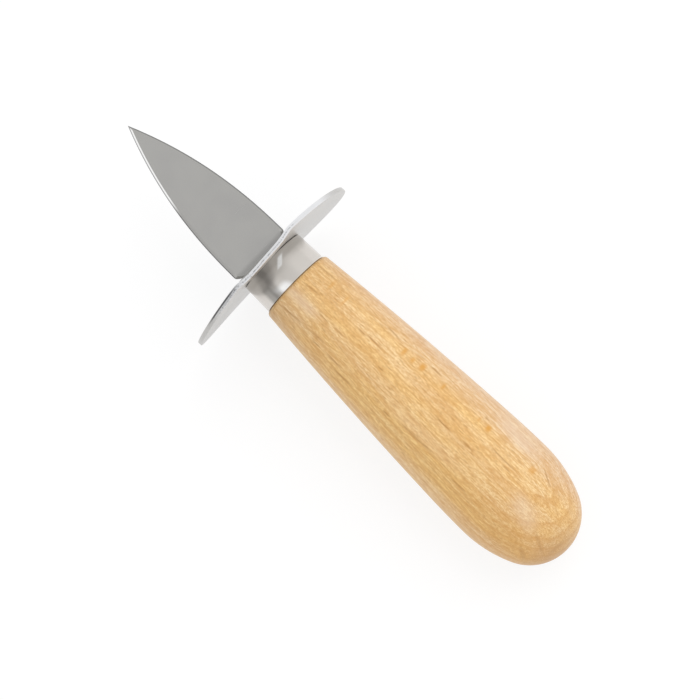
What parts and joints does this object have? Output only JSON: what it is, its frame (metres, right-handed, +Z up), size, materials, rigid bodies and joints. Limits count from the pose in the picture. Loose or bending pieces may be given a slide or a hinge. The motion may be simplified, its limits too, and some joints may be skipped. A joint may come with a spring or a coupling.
{
  "type": "oyster knife",
  "caption": "Short oyster knife with a pointed flat lancet blade, a round bent sheet guard, a drawn ferrule and a turned hardwood handle with a full rounded butt.",
  "frame": {"origin": "on the surface that the knife lies on, under the middle of its bounding box", "axes": "+X runs along the knife from the butt to the tip and is level, +Z is up. The knife lies on its guard's rim and its handle's belly, so its own axis climbs 7.85 degrees towards the tip. The blade's flat sides face up and down."},
  "size_m": [0.1588, 0.0552, 0.0549],
  "materials": {
    "blade_steel": "fine satin polish with brighter ground bevels",
    "guard_steel": "tumbled stamped sheet with a sheared rim",
    "ferrule_steel": "bright drawn steel",
    "beech": "turned beech under a thin satin varnish",
    "resin": "cured resin"
  },
  "bodies": {
    "root": {"blade": "blade_steel", "guard": "guard_steel", "ferrule": "ferrule_steel", "handle": "beech", "tang_resin": "resin"}
  },
  "joints": []
}
